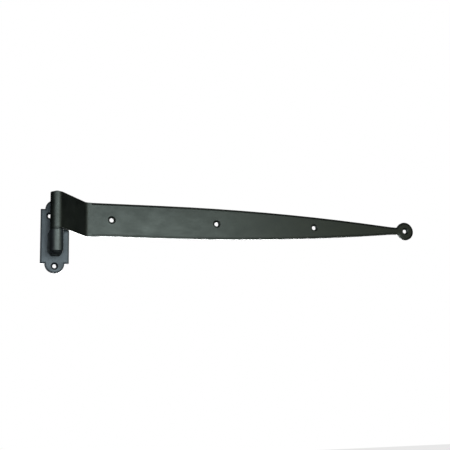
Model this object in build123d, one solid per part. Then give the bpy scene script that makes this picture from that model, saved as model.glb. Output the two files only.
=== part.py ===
from build123d import *
import math
import os

# Lift-off strap hinge, in millimetres. The pin stands along +Z and the strap runs along +X.
# The wall is on the +Y side, and the origin is on the small plate's back face, straight behind the pin.

# Small plate, screwed to the wall
PLATE_T = 3.0
PLATE_W = 31.2
PLATE_X = -0.5               # the plate's middle, a little to the left of the pin
PLATE_SHOULDER = 30.6       # half the height of the straight sides
LOBE_R = 10.7               # half-round ends
PLATE_BEVEL_W = 1.6
PLATE_BEVEL_T = 0.7
LOWER_HOLE_Z = -33.4
UPPER_HOLE_X = 5.6
UPPER_HOLE_Z = 22.8
PLATE_HOLE_R = 2.1
PLATE_SINK_R = 4.1

# Pin, and the block that carries it
PIN_Y = -17.3
PIN_R = 4.0
PIN_TOP = 47.6
PIN_ROUND = 1.4
BODY_R = 7.25
BODY_BOTTOM = -20.5
BODY_TOP = 3.4
BODY_ROUND = 1.6
PEEN_R = 5.2
PEEN_H = 1.2
BEAD_LEG = 1.2              # leg of the weld beads beside the block
HEEL_LEG = 2.4              # leg of the weld bead under it

# Thrust washer
WASHER_R = 6.9
WASHER_T = 2.1
WASHER_CHAMFER = 0.4
RUN_GAP = 0.15              # play between the faces that turn on each other
PIN_CLEARANCE = 0.08        # radial play of the eye and the washer on the pin

# Strap, bent and rolled from one bar
STRAP_T = 3.2
STRAP_W = 39.2
EYE_BORE_R = PIN_R + PIN_CLEARANCE
EYE_R = EYE_BORE_R + STRAP_T
EYE_BOTTOM = BODY_TOP + WASHER_T + 2 * RUN_GAP
EYE_H = 40.2                # the bar is a little wider at the eye than along the strap
STRAP_Z = EYE_BOTTOM + EYE_H - STRAP_W / 2
SHOULDER_RUN = 14.0         # past the bend, where the extra width has run out
CRANK_ANGLE = 53.0          # between the crank's web and the strap, in plan
CRANK_DEPTH = 36.8          # pin axis to the strap's front face
BEND_R = 7.0                # inside radius of the bend between web and strap
SEAM_ANGLE = 27.0           # where the rolled end stops short of the web, from +X
WELD_START_ANGLE = -2.0     # inside the web's thickness
WELD_INNER_R = 5.6
WELD_OUTER_R = 7.5
WELD_END = 1.0              # the seam weld stops this far from each end of the eye
FIRST_HOLE_X = 66.6
HOLE_PITCH = 127.0
HOLE_COUNT = 4
STRAP_HOLE_R = 2.5
STRAP_SINK_R = 4.6
TAPER_START = 60.0          # past the first hole
TAPER_END = 350.0           # past the first hole
TAPER_R = 3050.0
NECK_HALF = 4.5
TIP_R = 11.5
NECK_FILLET = 4.0
EDGE_BEVEL_W = 2.6
EDGE_BEVEL_T = 0.9
BEVEL_STOP = 3.0            # how far past the bend the edge bevels have run out

STRAP_FRONT = PIN_Y + CRANK_DEPTH
TIP_X = FIRST_HOLE_X + (HOLE_COUNT - 1) * HOLE_PITCH

# The crank in plan: the web's front face touches the eye, then meets the strap through the bend.
WEB_DIR = Vector(math.cos(math.radians(CRANK_ANGLE)), math.sin(math.radians(CRANK_ANGLE)))
WEB_OUT = Vector(WEB_DIR.Y, -WEB_DIR.X)
WEB_START = Vector(0, PIN_Y) + WEB_OUT * EYE_R
BEND_Y = STRAP_FRONT - BEND_R
BEND_X = WEB_START.X + WEB_OUT.X * BEND_R
BEND_X += (BEND_Y - WEB_START.Y - WEB_OUT.Y * BEND_R) * WEB_DIR.X / WEB_DIR.Y
BEND_CENTRE = Vector(BEND_X, BEND_Y)


def along_y(sketch, front, depth):
    """Extrude a sketch drawn in X and Z from its front plane towards +Y."""
    plane = Plane(origin=(0, front, 0), x_dir=(1, 0, 0), z_dir=(0, -1, 0))
    return extrude(plane * sketch, amount=-depth)


def along_x(outline, half_width):
    """Extrude a closed outline given in Y and Z to both sides of X = 0."""
    return extrude(Plane.YZ * make_face(Polyline(*outline, close=True)), amount=half_width, both=True)


def screw_hole(x, z, front, depth, hole_r, sink_r):
    """A countersunk hole through a flat bar, open at the front."""
    sink_depth = sink_r - hole_r
    tool = Cylinder(hole_r, 4 * depth) + Pos(0, 0, -sink_depth / 2) * Cone(hole_r, sink_r, sink_depth)
    return Location((x, front, z), (90, 0, 0)) * tool


def sector(inner_r, outer_r, start, end):
    """A flat slice of a ring about the origin, between two angles."""
    middle = (start + end) / 2
    points = [Vector(outer_r, 0).rotate(Axis.Z, angle) for angle in (start, middle, end)]
    inner = [Vector(inner_r, 0).rotate(Axis.Z, angle) for angle in (end, middle, start)]
    edges = [ThreePointArc(*points), Line(points[2], inner[0])]
    edges += [ThreePointArc(*inner), Line(inner[2], points[0])]
    return make_face(edges)


def pintle_plate():
    face = Rectangle(PLATE_W, 2 * PLATE_SHOULDER)
    for side in (-1, 1):
        face += Pos(0, side * PLATE_SHOULDER) * Circle(LOBE_R)
    plate = along_y(Pos(PLATE_X, 0) * face, -PLATE_T, PLATE_T)
    front = plate.faces().sort_by(Axis.Y)[0]
    plate = chamfer(front.edges(), PLATE_BEVEL_W, PLATE_BEVEL_T, reference=front)
    holes = [(0, LOWER_HOLE_Z), (-UPPER_HOLE_X, UPPER_HOLE_Z), (UPPER_HOLE_X, UPPER_HOLE_Z)]
    for x, z in holes:
        plate -= screw_hole(PLATE_X + x, z, -PLATE_T, PLATE_T, PLATE_HOLE_R, PLATE_SINK_R)
    return plate


def pintle_body():
    """The block between plate and pin: round in front, straight-sided behind, with a rounded lower end."""
    depth = -PLATE_T - PIN_Y
    plan = Pos(0, PIN_Y) * Circle(BODY_R)
    plan += Pos(0, PIN_Y + depth / 2) * Rectangle(2 * BODY_R, depth)
    block = Pos(0, 0, BODY_BOTTOM) * extrude(plan, amount=BODY_TOP - BODY_BOTTOM)
    under = block.faces().sort_by(Axis.Z)[0]
    rim = [edge for edge in under.edges() if edge.center().Y < -PLATE_T - BODY_ROUND]
    block = fillet(rim, BODY_ROUND)
    return block - Pos(0, PIN_Y, 0) * Cylinder(PIN_R, 4 * (BODY_TOP - BODY_BOTTOM))


def pintle_pin():
    length = PIN_TOP - BODY_BOTTOM
    pin = Pos(0, PIN_Y, BODY_BOTTOM + length / 2) * Cylinder(PIN_R, length)
    return fillet(pin.edges().sort_by(Axis.Z)[-1], PIN_ROUND)


def pin_peen():
    """The pin's tail, riveted over under the block."""
    dome = Pos(0, PIN_Y, BODY_BOTTOM - PEEN_H / 2) * Cylinder(PEEN_R, PEEN_H)
    return fillet(dome.edges().sort_by(Axis.Z)[0], PEEN_H * 0.8)


def body_welds():
    """A bead on each side of the block, and one under it, where it stands on the plate."""
    low = BODY_BOTTOM + BODY_ROUND
    height = BODY_TOP - low
    beads = []
    for side in (-1, 1):
        outline = [(side * (BODY_R + x), -PLATE_T + y) for x, y in ((0, 0), (BEAD_LEG, 0), (0, -BEAD_LEG))]
        face = make_face(Polyline(*outline, close=True))
        beads.append(Pos(0, 0, low) * extrude(face, amount=height))
    heel = [(-PLATE_T, BODY_BOTTOM), (-PLATE_T - HEEL_LEG, BODY_BOTTOM), (-PLATE_T, BODY_BOTTOM - HEEL_LEG)]
    half = BODY_R - BODY_ROUND
    beads.append(along_x(heel, half))
    return Compound(beads)


def thrust_washer():
    washer = Cylinder(WASHER_R, WASHER_T) - Cylinder(EYE_BORE_R, 2 * WASHER_T)
    rims = [edge for edge in washer.edges().filter_by(GeomType.CIRCLE) if edge.radius > EYE_BORE_R + 1]
    washer = chamfer(rims, WASHER_CHAMFER)
    return Pos(0, PIN_Y, BODY_TOP + RUN_GAP + WASHER_T / 2) * washer


def eye_plan():
    """The rolled eye in plan, open where its end stops short of the web."""
    return Pos(0, PIN_Y) * sector(EYE_BORE_R, EYE_R, CRANK_ANGLE - 90, SEAM_ANGLE - 360)


def web_plan():
    back = WEB_START - WEB_OUT * STRAP_T
    front_end = BEND_CENTRE - WEB_OUT * BEND_R
    back_end = front_end - WEB_OUT * STRAP_T
    web = make_face(Polyline(WEB_START, front_end, back_end, back, close=True))
    bend = Pos(BEND_X, BEND_Y) * sector(BEND_R, BEND_R + STRAP_T, 90, CRANK_ANGLE + 90)
    return web + bend


def strap_outline():
    """The strap's face from the bend to the disc, about its own centre line."""
    start = FIRST_HOLE_X + TAPER_START
    end = FIRST_HOLE_X + TAPER_END
    half = STRAP_W / 2
    length = end - start
    taper = [Vector(start + run, half - TAPER_R + math.sqrt(TAPER_R ** 2 - run ** 2))
             for run in (0, length / 2, length)]
    neck_end = Vector(TIP_X - TIP_R, NECK_HALF)
    upper = [Line((BEND_X, half), (start, half)), ThreePointArc(*taper)]
    upper.append(Spline(taper[2], neck_end, tangents=[upper[1] % 1, (1, 0)]))
    upper.append(Line(neck_end, (TIP_X, NECK_HALF)))
    lower = [mirror(edge, about=Plane.XZ) for edge in upper[1:]]
    corner = (BEND_X, STRAP_W / 2 - EYE_H)
    lower += [Line((start, -half), (BEND_X + SHOULDER_RUN, -half)), Line((BEND_X + SHOULDER_RUN, -half), corner)]
    ends = [Line(corner, (BEND_X, half)), Line((TIP_X, NECK_HALF), (TIP_X, -NECK_HALF))]
    return make_face(upper + lower + ends)


def strap_bar():
    """The flat strap with its disc, its bevelled front edges and its screw holes."""
    face = strap_outline() + Pos(TIP_X, 0) * Circle(TIP_R)
    bar = Pos(0, 0, STRAP_Z) * along_y(face, STRAP_FRONT, STRAP_T)
    neck = bar.edges().filter_by(Axis.Y).filter_by_position(Axis.X, TIP_X - TIP_R, TIP_X)
    bar = fillet(neck, NECK_FILLET)
    front = bar.faces().sort_by(Axis.Y)[0]
    rim = [edge for edge in front.edges() if edge.center().X > BEND_X + 1]
    bevel = bar - chamfer(rim, EDGE_BEVEL_W, EDGE_BEVEL_T, reference=front)
    stop = Polyline((BEND_X, STRAP_FRONT - 1), (BEND_X + BEVEL_STOP + 1, STRAP_FRONT - 1),
                    (BEND_X, STRAP_FRONT + BEVEL_STOP), close=True)
    bar -= bevel - extrude(make_face(stop), amount=EYE_BOTTOM + EYE_H)
    for count in range(HOLE_COUNT):
        x = FIRST_HOLE_X + count * HOLE_PITCH
        bar -= screw_hole(x, STRAP_Z, STRAP_FRONT, STRAP_T, STRAP_HOLE_R, STRAP_SINK_R)
    return bar


def strap_leaf():
    crank = Pos(0, 0, EYE_BOTTOM) * extrude(eye_plan() + web_plan(), amount=EYE_H)
    return crank + strap_bar()


def eye_weld():
    """The weld that closes the groove between the rolled end and the web."""
    groove = Pos(0, PIN_Y) * sector(WELD_INNER_R, WELD_OUTER_R, WELD_START_ANGLE, SEAM_ANGLE)
    bead = groove - web_plan()
    return Pos(0, 0, EYE_BOTTOM + WELD_END) * extrude(bead, amount=EYE_H - 2 * WELD_END)


parts = {
    "pintle_plate": pintle_plate(),
    "pintle_body": pintle_body(),
    "pintle_pin": pintle_pin(),
    "pin_peen": pin_peen(),
    "body_welds": body_welds(),
    "thrust_washer": thrust_washer(),
    "strap_leaf": strap_leaf(),
    "eye_weld": eye_weld(),
}
os.makedirs("parts", exist_ok=True)
for name, shape in parts.items():
    export_step(shape, f"parts/{name}.step")
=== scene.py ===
import math

import bmesh
import bpy
from mathutils import Matrix, Vector

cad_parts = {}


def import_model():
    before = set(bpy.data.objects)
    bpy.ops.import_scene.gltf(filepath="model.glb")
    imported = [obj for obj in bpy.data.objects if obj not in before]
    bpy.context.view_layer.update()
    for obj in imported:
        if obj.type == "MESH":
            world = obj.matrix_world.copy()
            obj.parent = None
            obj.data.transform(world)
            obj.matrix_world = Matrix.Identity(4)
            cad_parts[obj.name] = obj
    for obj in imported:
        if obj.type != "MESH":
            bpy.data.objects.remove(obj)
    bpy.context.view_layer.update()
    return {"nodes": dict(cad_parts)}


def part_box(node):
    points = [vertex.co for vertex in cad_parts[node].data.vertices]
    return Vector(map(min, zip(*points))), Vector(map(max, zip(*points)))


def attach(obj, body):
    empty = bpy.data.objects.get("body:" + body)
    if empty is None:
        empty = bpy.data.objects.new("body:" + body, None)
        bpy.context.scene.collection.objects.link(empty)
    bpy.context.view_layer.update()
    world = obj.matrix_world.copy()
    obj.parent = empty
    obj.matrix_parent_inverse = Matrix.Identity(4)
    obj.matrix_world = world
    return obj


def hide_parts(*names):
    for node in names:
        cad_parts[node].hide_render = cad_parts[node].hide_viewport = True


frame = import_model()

MM = 0.001
IMAGE_SIZE = 450
SENSOR = 36.0                          # mm

# Camera, from the left and a little below the hinge
CAMERA_AT = Vector((-0.0928, -0.9204, -0.2015))
CAMERA_PAN = math.radians(17.51)       # to the right of +Y
CAMERA_TILT = math.radians(12.97)      # upwards
CAMERA_ROLL = math.radians(-1.86)
CAMERA_FOCAL = 838.3                   # where the picture is IMAGE_SIZE wide

# Softboxes: name, place, aim, width, height, watts, colour
LIGHTS = (
    ("key", (0.19, -0.52, 0), (0.08, 0, 0), 0.30, 0.38, 3.1, (0.98, 1.0, 1.0)),
    ("key_left", (-0.14, -0.52, 0), (0, 0, 0), 0.36, 0.38, 2.4, (0.98, 1.0, 1.0)),
    ("strap_key", (0.62, -0.6, 0.02), (0.30, 0, 0), 0.40, 0.40, 0.9, (1.0, 0.95, 0.72)),
    ("back_fill", (0.45, 1.5, -0.40), (0.2, 0, 0), 1.0, 0.5, 40, (1, 1, 1)),
)
ROOM_COLOUR = (0.9, 0.97, 1.0, 1)
ROOM_STRENGTH = 0.012
FLOOR_Z = -0.75
FLOOR_REACH = 12.0
FLOOR_GLOW = 0.8

# Colours, linear
STRAP_DARK = (0.0010, 0.0014, 0.0012, 1)
STRAP_LIGHT = (0.0036, 0.0046, 0.0034, 1)
PLATE_DARK = (0.0040, 0.0050, 0.0065, 1)
PLATE_LIGHT = (0.0085, 0.0105, 0.0140, 1)
STRAP_TINT = (0.84, 1.0, 0.94, 1)      # colour of the gloss
PLATE_TINT = (0.76, 0.92, 1.0, 1)
WORN_STEEL = (0.16, 0.155, 0.145, 1)
TURNED_STEEL = (0.12, 0.115, 0.11, 1)
OIL_STAIN = (0.05, 0.044, 0.038, 1)

# Noise scales, in cells per metre
MOTTLE = 38
SPECKS = 1500
RUBBING = 260
GLOSS_CLOUDS = 85
WAVES = 24
ORANGE_PEEL = 150
GRIT = 950
STAINS = 120
TURNING_RINGS = 60

BAR_GRAIN = (0.6, 1, 1)                # draws the strap's mottling out along the bar
SHADED_ROUND = 0.3 * MM                # the radius that edges are shaded with
RUBBED_ROUND = 0.5 * MM                # how far in from an edge the paint is rubbed


# ---------------------------------------------------------------- places from the frame

body_low, body_high = (Vector(corner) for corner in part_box("pintle_body"))
pin_low, pin_high = (Vector(corner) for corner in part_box("pintle_pin"))
weld_low, weld_high = (Vector(corner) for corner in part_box("body_welds"))
seam_low, seam_high = (Vector(corner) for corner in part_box("eye_weld"))
peen_low, peen_high = (Vector(corner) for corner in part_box("pin_peen"))
PIN_X = (pin_low.x + pin_high.x) / 2
PIN_Y = (pin_low.y + pin_high.y) / 2
PLATE_FRONT = body_high.y
OFF_PLATE = Vector((0, -1, 0))
BODY_ROUND = 1.6 * MM                  # the block's rounded lower rim

# The beads between the block and the plate
BEAD_PITCH = 1.3 * MM                  # from one ripple to the next
BEAD_DIP = 0.07                        # shares of the leg: the ripples' depth,
BEAD_WANDER = 0.05                     # the change from one ripple to another,
BEAD_BULGE = 0.10                      # and how far the middle stands out
BEAD_TAPER = 2.0 * MM                  # the length over which each end grows
BEAD_LAG = 0.45                        # how far a ripple curves back, in pitches
BEAD_ARC = 12                          # steps across a bead
STEPS_PER_RIPPLE = 8

# The seam weld in the eye, about the pin
SEAM_INNER_R = 5.6 * MM
SEAM_OUTER_R = 7.5 * MM
SEAM_START = 11                        # degrees from +X
SEAM_END = 27
SEAM_PITCH = 1.9 * MM
SEAM_EDGE = 0.62                       # shares of the depth: what the sides reach,
SEAM_BULGE = 0.38                      # what the middle adds
SEAM_DIP = 0.16                        # and what it loses between crests
SEAM_TAPER = 1.5 * MM
SEAM_LAG = 0.35                        # in pitches
SEAM_ARC = 10                          # steps across the bead

# The pin's riveted tail
PEEN_RINGS = 14
PEEN_POINTS = 48
PEEN_BROAD_WAVE = 0.025                # shares of the radius that the rim wavers by
PEEN_FINE_WAVE = 0.012
PEEN_DENT = 0.045                      # share of the height
PEEN_FLATNESS = 0.75                   # below 1, the dome is flatter on top


# ---------------------------------------------------------------- node helpers

class Nodes:
    """A material's node tree, with short calls for what the finishes share."""

    MIX_A, MIX_B, MIX_RESULT = 6, 7, 2     # a Mix node's sockets for colours

    def __init__(self, name):
        self.material = bpy.data.materials.new(name)
        self.material.use_nodes = True
        self.tree = self.material.node_tree
        self.shader = self.tree.nodes["Principled BSDF"]
        self.place = self.add("ShaderNodeTexCoord").outputs["Object"]

    def add(self, kind, **settings):
        node = self.tree.nodes.new(kind)
        for key, value in settings.items():
            setattr(node, key, value)
        return node

    def link(self, source, target):
        self.tree.links.new(source, target)

    def noise(self, scale, detail, rough=0.55, stretch=(1, 1, 1), offset=(0, 0, 0)):
        mapping = self.add("ShaderNodeMapping")
        mapping.inputs["Scale"].default_value = stretch
        mapping.inputs["Location"].default_value = offset
        self.link(self.place, mapping.inputs["Vector"])
        node = self.add("ShaderNodeTexNoise")
        node.inputs["Scale"].default_value = scale
        node.inputs["Detail"].default_value = detail
        node.inputs["Roughness"].default_value = rough
        self.link(mapping.outputs["Vector"], node.inputs["Vector"])
        return node.outputs["Fac"]

    def spread(self, source, low, high, to_low=0.0, to_high=1.0):
        """Stretches low to high over to_low to to_high."""
        node = self.add("ShaderNodeMapRange")
        node.inputs["From Min"].default_value = low
        node.inputs["From Max"].default_value = high
        node.inputs["To Min"].default_value = to_low
        node.inputs["To Max"].default_value = to_high
        self.link(source, node.inputs["Value"])
        return node.outputs["Result"]

    def multiply(self, a, b):
        node = self.add("ShaderNodeMath", operation="MULTIPLY")
        for socket, value in zip(node.inputs, (a, b)):
            if isinstance(value, (int, float)):
                socket.default_value = value
            else:
                self.link(value, socket)
        return node.outputs[0]

    def mix(self, factor, a, b):
        node = self.add("ShaderNodeMix", data_type="RGBA")
        self.link(factor, node.inputs["Factor"])
        for index, value in ((self.MIX_A, a), (self.MIX_B, b)):
            if isinstance(value, tuple):
                node.inputs[index].default_value = value
            else:
                self.link(value, node.inputs[index])
        return node.outputs[self.MIX_RESULT]

    def bump(self, height, strength, distance, normal=None):
        node = self.add("ShaderNodeBump")
        node.inputs["Strength"].default_value = strength
        node.inputs["Distance"].default_value = distance
        self.link(height, node.inputs["Height"])
        if normal is not None:
            self.link(normal, node.inputs["Normal"])
        return node.outputs["Normal"]

    def soft_edge(self, radius):
        """The surface's normal, turned smoothly round each edge."""
        bevel = self.add("ShaderNodeBevel", samples=8)
        bevel.inputs["Radius"].default_value = radius
        return bevel.outputs["Normal"]

    def edges(self, radius):
        """1 on an edge and 0 on a flat, by comparing the rounded normal with the true one."""
        rounded = self.soft_edge(radius)
        geometry = self.add("ShaderNodeNewGeometry")
        dot = self.add("ShaderNodeVectorMath", operation="DOT_PRODUCT")
        self.link(rounded, dot.inputs[0])
        self.link(geometry.outputs["Normal"], dot.inputs[1])
        return self.spread(dot.outputs["Value"], low=0.995, high=0.90)


def paint(name, dark, light, tint, roughness, wear, grain=(1, 1, 1), specular=0.5):
    """Satin black paint over bar stock: mottled, with orange peel, faint scale and worn edges."""
    nodes = Nodes(name)
    cloud = nodes.noise(MOTTLE, detail=4, rough=0.6, stretch=grain)
    colour = nodes.mix(nodes.spread(cloud, low=0.38, high=0.66), dark, light)
    speck = nodes.spread(nodes.noise(SPECKS, detail=2), low=0.70, high=0.78, to_high=0.35)
    colour = nodes.mix(speck, colour, WORN_STEEL)
    broken = nodes.spread(nodes.noise(RUBBING, detail=4, rough=0.7), low=0.52, high=0.66)
    rubbed = nodes.multiply(nodes.multiply(nodes.edges(RUBBED_ROUND), broken), wear)
    colour = nodes.mix(rubbed, colour, WORN_STEEL)
    nodes.link(colour, nodes.shader.inputs["Base Color"])
    nodes.link(rubbed, nodes.shader.inputs["Metallic"])

    dull = nodes.noise(GLOSS_CLOUDS, detail=5, rough=0.65, stretch=grain, offset=(0.3, 0.1, 0.2))
    dull = nodes.spread(dull, low=0.3, high=0.7, to_low=roughness - 0.07, to_high=roughness + 0.09)
    nodes.link(dull, nodes.shader.inputs["Roughness"])
    nodes.shader.inputs["Specular IOR Level"].default_value = specular
    nodes.shader.inputs["Specular Tint"].default_value = tint

    waves = nodes.noise(WAVES, detail=2, rough=0.5, stretch=grain, offset=(0.7, 0.2, 0.4))
    peel = nodes.noise(ORANGE_PEEL, detail=4, rough=0.6, stretch=grain)
    grit = nodes.noise(GRIT, detail=2)
    normal = nodes.bump(waves, strength=0.22, distance=1.0 * MM, normal=nodes.soft_edge(SHADED_ROUND))
    normal = nodes.bump(peel, strength=0.20, distance=0.25 * MM, normal=normal)
    normal = nodes.bump(grit, strength=0.25, distance=0.05 * MM, normal=normal)
    nodes.link(normal, nodes.shader.inputs["Normal"])
    return nodes.material


def turned_steel(name):
    """Bare turned steel with a film of oil and fine rings round the pin."""
    nodes = Nodes(name)
    stain = nodes.noise(STAINS, detail=4, rough=0.65)
    stain = nodes.spread(stain, low=0.42, high=0.68, to_high=0.8)
    nodes.link(nodes.mix(stain, TURNED_STEEL, OIL_STAIN), nodes.shader.inputs["Base Color"])
    nodes.shader.inputs["Metallic"].default_value = 1.0
    dull = nodes.spread(stain, low=0, high=0.8, to_low=0.32, to_high=0.52)
    nodes.link(dull, nodes.shader.inputs["Roughness"])
    rings = nodes.noise(TURNING_RINGS, detail=2, rough=0.5, stretch=(1, 1, 55))
    nodes.link(nodes.bump(rings, strength=0.3, distance=0.05 * MM), nodes.shader.inputs["Normal"])
    return nodes.material


# ---------------------------------------------------------------- pieces

def dress(node, material):
    """A CAD piece keeps its mesh and gets its material."""
    piece = frame["nodes"][node]
    piece.data.materials.clear()
    piece.data.materials.append(material)


def frame_pieces(materials):
    dress("pintle_plate", materials["plate"])
    dress("pintle_body", materials["body"])
    dress("pintle_pin", materials["pin"])
    dress("thrust_washer", materials["washer"])
    dress("strap_leaf", materials["strap"])


def new_piece(name, mesh, material, body, node):
    """A smooth piece that rides on a body and stands for a CAD node."""
    for polygon in mesh.polygons:
        polygon.use_smooth = True
    piece = bpy.data.objects.new(name, mesh)
    bpy.context.scene.collection.objects.link(piece)
    piece.data.materials.append(material)
    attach(piece, body)
    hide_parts(node)


def tube_mesh(name, rings):
    """A closed mesh through rings of points, with a fan at each end."""
    mesh = bmesh.new()
    rows = [[mesh.verts.new(point) for point in ring] for ring in rings]
    for low, high in zip(rows, rows[1:]):
        count = len(low)
        for index in range(count):
            after = (index + 1) % count
            mesh.faces.new((low[index], low[after], high[after], high[index]))
    for row in (rows[0], rows[-1]):
        centre = mesh.verts.new(sum((v.co for v in row), Vector()) / len(row))
        for index in range(len(row)):
            mesh.faces.new((row[index], row[(index + 1) % len(row)], centre))
    bmesh.ops.recalc_face_normals(mesh, faces=mesh.faces)
    data = bpy.data.meshes.new(name)
    mesh.to_mesh(data)
    mesh.free()
    return data


def about_pin(radius, angle, z):
    """A point at this radius from the pin's axis, with the angle in radians from +X."""
    return Vector((PIN_X + radius * math.cos(angle), PIN_Y + radius * math.sin(angle), z))


def growth(share, length, taper, least):
    """A bead's size at a share of its length: 1, or less where an end is nearer than the taper."""
    return math.sin(min(1, min(share, 1 - share) * length / taper + least) * math.pi / 2)


def bead_mesh(name, start, run, outward, leg):
    """A rippled weld bead in the corner between the block and the plate. It begins at start and follows
    run. It reaches leg along outward, which lies in the plate, and leg off the plate."""
    length = run.length
    along = run.normalized()
    steps = round(length / BEAD_PITCH) * STEPS_PER_RIPPLE
    rings = []
    for step in range(steps + 1):
        share = step / steps
        phase = 2 * math.pi * share * length / BEAD_PITCH
        dip = BEAD_DIP * (0.5 + 0.5 * math.cos(phase))
        wander = BEAD_WANDER * (1 + math.sin(phase * 0.37 + 1.3))
        size = 1 - dip - wander
        size *= growth(share, length, BEAD_TAPER, least=0.25)
        corner = start + run * share
        ring = []
        for index in range(BEAD_ARC + 1):
            turn = index / BEAD_ARC
            bulge = math.sin(math.pi * turn)
            reach = leg * size * (1 + BEAD_BULGE * bulge)
            lag = BEAD_PITCH * BEAD_LAG * bulge * min(share, 1 - share) * 2
            ring.append(corner + (outward * (1 - turn) + OFF_PLATE * turn) * reach - along * lag)
        ring.append(corner)
        rings.append(ring)
    return tube_mesh(name, rings)


def body_weld(name, start, run, outward, leg, material):
    mesh = bead_mesh(name, start, run, outward, leg)
    new_piece(name, mesh, material, "pintle", "body_welds")


def body_welds(material):
    """Beads on both sides of the block and under it, where it meets the plate."""
    block_half = (body_high.x - body_low.x) / 2
    leg = (weld_high.x - weld_low.x) / 2 - block_half
    foot = body_low.z + BODY_ROUND
    for side, name in ((-1, "weld_bead_left"), (1, "weld_bead_right")):
        start = Vector((PIN_X + side * block_half, PLATE_FRONT, foot))
        run = Vector((0, 0, body_high.z - foot))
        body_weld(name, start, run, Vector((side, 0, 0)), leg, material)
    heel_leg = PLATE_FRONT - weld_low.y
    heel_half = block_half - BODY_ROUND
    start = Vector((PIN_X - heel_half, PLATE_FRONT, body_low.z))
    run = Vector((2 * heel_half, 0, 0))
    body_weld("weld_bead_under", start, run, Vector((0, 0, -1)), heel_leg, material)


def eye_weld(material):
    """The rippled bead that closes the groove between the rolled end and the web. Its outline in plan is
    a slice of a ring about the pin, and the crests stay inside the slice."""
    length = seam_high.z - seam_low.z
    depth = SEAM_OUTER_R - SEAM_INNER_R
    ripples = round(length / SEAM_PITCH)
    steps = ripples * STEPS_PER_RIPPLE
    rings = []
    for step in range(steps + 1):
        share = step / steps
        dip = 0.5 + 0.5 * math.cos(2 * math.pi * share * ripples)
        ends = growth(share, length, SEAM_TAPER, least=0.2)
        z = seam_low.z + length * share
        ring = []
        for index in range(SEAM_ARC + 1):
            turn = index / SEAM_ARC
            angle = math.radians(SEAM_START + (SEAM_END - SEAM_START) * turn)
            bulge = math.sin(math.pi * turn) ** 0.7
            filled = SEAM_EDGE + bulge * (SEAM_BULGE - SEAM_DIP * dip)
            reach = SEAM_INNER_R + depth * ends * filled
            sag = SEAM_LAG * SEAM_PITCH * bulge * min(1, min(share, 1 - share) * 12)
            ring.append(about_pin(reach, angle, z - sag))
        for angle in (SEAM_END, (SEAM_START + SEAM_END) / 2, SEAM_START):
            ring.append(about_pin(SEAM_INNER_R, math.radians(angle), z))
        rings.append(ring)
    mesh = tube_mesh("eye_seam_bead", rings)
    new_piece("eye_seam_bead", mesh, material, "leaf", "eye_weld")


def pin_peen(material):
    """The pin's tail hammered over: a low dome with overlapping facets and an uneven rim."""
    radius = (peen_high.x - peen_low.x) / 2
    height = peen_high.z - peen_low.z
    rings = []
    for row in range(PEEN_RINGS):
        turn = row / (PEEN_RINGS - 1)      # 0 at the rim and 1 in the middle
        ring = []
        for index in range(PEEN_POINTS):
            angle = 2 * math.pi * index / PEEN_POINTS
            broad = PEEN_BROAD_WAVE * (1 + math.sin(3 * angle + 0.7))
            fine = PEEN_FINE_WAVE * (1 + math.sin(7 * angle))
            uneven = 1 - broad - fine
            dent = PEEN_DENT * math.sin(4.1 * math.cos(angle) * (1 - turn) * 2 + 0.4)
            dent *= math.sin(4.6 * math.sin(angle) * (1 - turn) * 2 + 1.1)
            out = radius * uneven * math.cos(turn * math.pi / 2 * 0.98)
            dome = math.sin(turn * math.pi / 2) ** PEEN_FLATNESS
            drop = height * min(1, dome * (0.95 + dent * min(1, turn * 3)))
            ring.append(about_pin(out, angle, peen_high.z - drop))
        rings.append(ring)
    mesh = tube_mesh("pin_peen_dome", rings)
    new_piece("pin_peen_dome", mesh, material, "pintle", "pin_peen")


# ---------------------------------------------------------------- stage, light and camera

def area_light(name, place, target, width, height, power, colour):
    data = bpy.data.lights.new(name, "AREA")
    data.energy = power
    data.color = colour
    data.shape = "RECTANGLE"
    data.size = width
    data.size_y = height
    light = bpy.data.objects.new(name, data)
    light.location = place
    light.visible_camera = False
    light.rotation_euler = (Vector(target) - Vector(place)).to_track_quat("-Z", "Y").to_euler()
    bpy.context.scene.collection.objects.link(light)


def world():
    """White to the camera, and a dim even room to everything else."""
    scene_world = bpy.data.worlds.new("studio")
    bpy.context.scene.world = scene_world
    scene_world.use_nodes = True
    tree = scene_world.node_tree
    tree.nodes.clear()
    seen = tree.nodes.new("ShaderNodeBackground")
    seen.inputs["Color"].default_value = (1, 1, 1, 1)
    room = tree.nodes.new("ShaderNodeBackground")
    room.inputs["Color"].default_value = ROOM_COLOUR
    room.inputs["Strength"].default_value = ROOM_STRENGTH
    path = tree.nodes.new("ShaderNodeLightPath")
    mix = tree.nodes.new("ShaderNodeMixShader")
    out = tree.nodes.new("ShaderNodeOutputWorld")
    tree.links.new(path.outputs["Is Camera Ray"], mix.inputs["Fac"])
    tree.links.new(room.outputs[0], mix.inputs[1])
    tree.links.new(seen.outputs[0], mix.inputs[2])
    tree.links.new(mix.outputs[0], out.inputs["Surface"])


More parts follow.
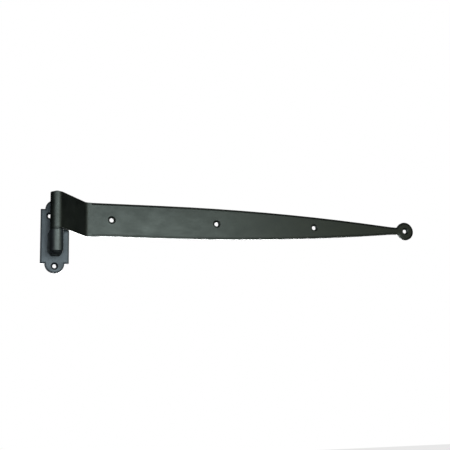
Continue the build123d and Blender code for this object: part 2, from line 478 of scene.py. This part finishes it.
def floor():
    """A wide pale floor, well below the hinge. It glows, but neither lights the hinge nor shows in
    its gloss."""
    mesh = bpy.data.meshes.new("floor")
    corners = [(x * FLOOR_REACH, y * FLOOR_REACH, FLOOR_Z)
               for x, y in ((-1, -1), (1, -1), (1, 1), (-1, 1))]
    mesh.from_pydata(corners, [], [(0, 1, 2, 3)])
    piece = bpy.data.objects.new("floor", mesh)
    bpy.context.scene.collection.objects.link(piece)
    material = bpy.data.materials.new("pale_floor")
    material.use_nodes = True
    shader = material.node_tree.nodes["Principled BSDF"]
    shader.inputs["Base Color"].default_value = (0.9, 0.9, 0.9, 1)
    shader.inputs["Roughness"].default_value = 0.9
    shader.inputs["Emission Color"].default_value = (1, 1, 1, 1)
    shader.inputs["Emission Strength"].default_value = FLOOR_GLOW
    mesh.materials.append(material)
    piece.visible_glossy = False
    piece.visible_diffuse = False


def camera():
    data = bpy.data.cameras.new("camera")
    data.sensor_width = SENSOR
    data.lens = CAMERA_FOCAL / IMAGE_SIZE * SENSOR
    data.clip_start = 0.05
    data.clip_end = 60
    piece = bpy.data.objects.new("camera", data)
    forward = Vector((math.sin(CAMERA_PAN) * math.cos(CAMERA_TILT),
                      math.cos(CAMERA_PAN) * math.cos(CAMERA_TILT), math.sin(CAMERA_TILT)))
    level_right = forward.cross(Vector((0, 0, 1))).normalized()
    level_up = level_right.cross(forward)
    right = level_right * math.cos(CAMERA_ROLL) + level_up * math.sin(CAMERA_ROLL)
    up = level_up * math.cos(CAMERA_ROLL) - level_right * math.sin(CAMERA_ROLL)
    turn = Matrix((right, up, -forward)).transposed()
    piece.matrix_world = Matrix.Translation(CAMERA_AT) @ turn.to_4x4()
    bpy.context.scene.collection.objects.link(piece)
    bpy.context.scene.camera = piece


# ---------------------------------------------------------------- build

materials = {
    "strap": paint("strap_paint", STRAP_DARK, STRAP_LIGHT, STRAP_TINT, roughness=0.48, wear=0.5,
                   grain=BAR_GRAIN),
    "plate": paint("plate_paint", PLATE_DARK, PLATE_LIGHT, PLATE_TINT, roughness=0.50, wear=0.5,
                   specular=0.60),
    "body": paint("body_paint", PLATE_DARK, PLATE_LIGHT, STRAP_TINT, roughness=0.48, wear=0.5,
                  specular=0.68),
    "washer": paint("washer_paint", STRAP_DARK, PLATE_DARK, STRAP_TINT, roughness=0.5, wear=0.7),
    "pin": turned_steel("turned_steel"),
}
frame_pieces(materials)
body_welds(materials["body"])
eye_weld(materials["strap"])
pin_peen(materials["body"])
world()
floor()
for light in LIGHTS:
    area_light(*light)
camera()
bpy.context.scene.view_settings.view_transform = "Standard"
